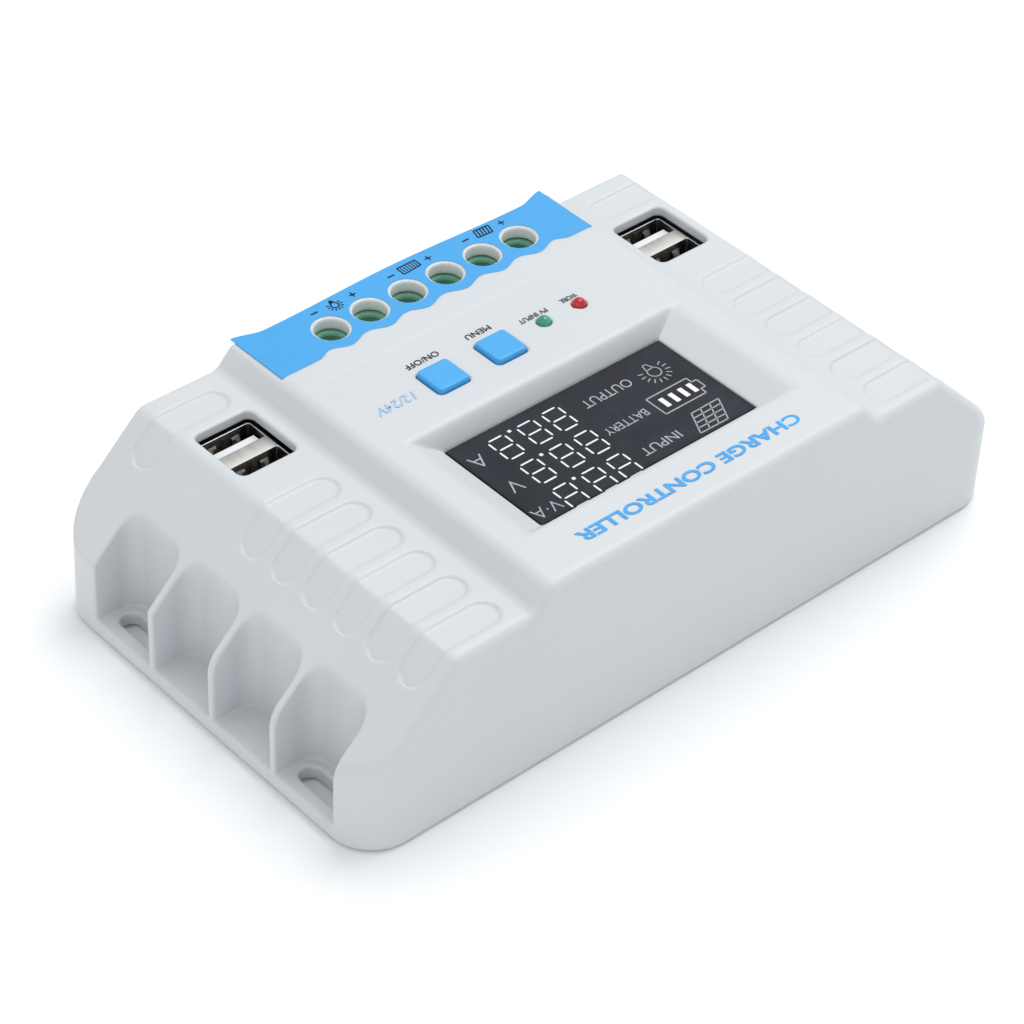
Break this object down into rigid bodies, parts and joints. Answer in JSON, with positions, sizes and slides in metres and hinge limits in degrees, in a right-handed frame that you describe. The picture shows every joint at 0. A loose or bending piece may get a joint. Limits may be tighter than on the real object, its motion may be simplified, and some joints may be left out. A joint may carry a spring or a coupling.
{
  "type": "charge controller",
  "caption": "Wall-mounted solar charge controller: sloped housing with display, two push buttons, lamps, twin USB sockets and a row of screw terminals.",
  "frame": {"origin": "middle of the back face, the face that lies against the wall", "axes": "+Z away from the wall, +X along the reading direction of the front, -Y towards the terminal wall"},
  "size_m": [0.174, 0.0974, 0.0457],
  "materials": {
    "housing_abs": "fine satin moulded ABS",
    "cover_abs": "satin moulded ABS",
    "blue_label": "matt printed film",
    "window_acrylic": "glossy smoked acrylic",
    "lcd_glass": "glossy",
    "white_plastic": "satin",
    "circuit_board": "solder mask",
    "black_plastic": "satin",
    "green_lens": "tinted epoxy",
    "red_lens": "tinted epoxy",
    "plated_steel": "nickel plate",
    "terminal_green": "satin moulded polyamide",
    "contact_brass": "bright",
    "heatsink_aluminium": "extruded",
    "capacitor_sleeve": "shrink sleeve",
    "choke_winding": "enamelled copper",
    "blue_button": "satin moulded ABS"
  },
  "bodies": {
    "housing": {"front_housing": "housing_abs", "rear_cover": "cover_abs", "terminal_label": "blue_label", "display_window": "window_acrylic", "lcd_panel": "lcd_glass", "lcd_frame": "white_plastic", "display_board": "circuit_board", "switch_on_off": "black_plastic", "switch_menu": "black_plastic", "led_pv": "green_lens", "led_work": "red_lens", "usb_shell_a": "plated_steel", "usb_insulator_a": "white_plastic", "usb_board_a": "circuit_board", "usb_shell_b": "plated_steel", "usb_insulator_b": "white_plastic", "usb_board_b": "circuit_board", "terminal_block": "terminal_green", "contact_bar_1": "contact_brass", "contact_bar_2": "contact_brass", "contact_bar_3": "contact_brass", "contact_bar_4": "contact_brass", "contact_bar_5": "contact_brass", "contact_bar_6": "contact_brass", "main_board": "circuit_board", "heatsink": "heatsink_aluminium", "mosfet_1": "black_plastic", "mosfet_2": "black_plastic", "mosfet_3": "black_plastic", "mosfet_4": "black_plastic", "capacitor_1": "capacitor_sleeve", "capacitor_2": "capacitor_sleeve", "choke": "choke_winding", "microcontroller": "black_plastic", "link_header": "black_plastic", "cover_screw_1": "plated_steel", "cover_screw_2": "plated_steel", "cover_screw_3": "plated_steel", "cover_screw_4": "plated_steel", "board_screw_1": "plated_steel", "board_screw_2": "plated_steel", "board_screw_3": "plated_steel", "board_screw_4": "plated_steel"},
    "button_on_off": {"button_on_off": "blue_button"},
    "button_menu": {"button_menu": "blue_button"},
    "terminal_screw_1": {"terminal_screw_1": "plated_steel"},
    "terminal_screw_2": {"terminal_screw_2": "plated_steel"},
    "terminal_screw_3": {"terminal_screw_3": "plated_steel"},
    "terminal_screw_4": {"terminal_screw_4": "plated_steel"},
    "terminal_screw_5": {"terminal_screw_5": "plated_steel"},
    "terminal_screw_6": {"terminal_screw_6": "plated_steel"},
    "wire_clamp_1": {"wire_clamp_1": "plated_steel"},
    "wire_clamp_2": {"wire_clamp_2": "plated_steel"},
    "wire_clamp_3": {"wire_clamp_3": "plated_steel"},
    "wire_clamp_4": {"wire_clamp_4": "plated_steel"},
    "wire_clamp_5": {"wire_clamp_5": "plated_steel"},
    "wire_clamp_6": {"wire_clamp_6": "plated_steel"}
  },
  "joints": [
    {"name": "press_on_off", "type": "slide", "parent": "housing", "child": "button_on_off", "axis": [0, 0, -1], "range_m": [0, 0.0006], "stiffness_N_per_m": 2500},
    {"name": "press_menu", "type": "slide", "parent": "housing", "child": "button_menu", "axis": [0, 0, -1], "range_m": [0, 0.0006], "stiffness_N_per_m": 2500},
    {"name": "turn_screw_1", "type": "hinge", "parent": "housing", "child": "terminal_screw_1", "pos_m": [0.0237, -0.0386, 0.03], "axis": [0, 0, -1], "range_deg": [0, 2520]},
    {"name": "lift_clamp_1", "type": "slide", "parent": "housing", "child": "wire_clamp_1", "axis": [0, 0, 1], "range_m": [0, 0.0042]},
    {"name": "turn_screw_2", "type": "hinge", "parent": "housing", "child": "terminal_screw_2", "pos_m": [0.01354, -0.0386, 0.03], "axis": [0, 0, -1], "range_deg": [0, 2520]},
    {"name": "lift_clamp_2", "type": "slide", "parent": "housing", "child": "wire_clamp_2", "axis": [0, 0, 1], "range_m": [0, 0.0042]},
    {"name": "turn_screw_3", "type": "hinge", "parent": "housing", "child": "terminal_screw_3", "pos_m": [0.00338, -0.0386, 0.03], "axis": [0, 0, -1], "range_deg": [0, 2520]},
    {"name": "lift_clamp_3", "type": "slide", "parent": "housing", "child": "wire_clamp_3", "axis": [0, 0, 1], "range_m": [0, 0.0042]},
    {"name": "turn_screw_4", "type": "hinge", "parent": "housing", "child": "terminal_screw_4", "pos_m": [-0.00678, -0.0386, 0.03], "axis": [0, 0, -1], "range_deg": [0, 2520]},
    {"name": "lift_clamp_4", "type": "slide", "parent": "housing", "child": "wire_clamp_4", "axis": [0, 0, 1], "range_m": [0, 0.0042]},
    {"name": "turn_screw_5", "type": "hinge", "parent": "housing", "child": "terminal_screw_5", "pos_m": [-0.01694, -0.0386, 0.03], "axis": [0, 0, -1], "range_deg": [0, 2520]},
    {"name": "lift_clamp_5", "type": "slide", "parent": "housing", "child": "wire_clamp_5", "axis": [0, 0, 1], "range_m": [0, 0.0042]},
    {"name": "turn_screw_6", "type": "hinge", "parent": "housing", "child": "terminal_screw_6", "pos_m": [-0.0271, -0.0386, 0.03], "axis": [0, 0, -1], "range_deg": [0, 2520]},
    {"name": "lift_clamp_6", "type": "slide", "parent": "housing", "child": "wire_clamp_6", "axis": [0, 0, 1], "range_m": [0, 0.0042]}
  ],
  "couplings": [
    {"joint": "turn_screw_1", "follows": "lift_clamp_1", "rad_per_m": 10472},
    {"joint": "turn_screw_2", "follows": "lift_clamp_2", "rad_per_m": 10472},
    {"joint": "turn_screw_3", "follows": "lift_clamp_3", "rad_per_m": 10472},
    {"joint": "turn_screw_4", "follows": "lift_clamp_4", "rad_per_m": 10472},
    {"joint": "turn_screw_5", "follows": "lift_clamp_5", "rad_per_m": 10472},
    {"joint": "turn_screw_6", "follows": "lift_clamp_6", "rad_per_m": 10472}
  ]
}
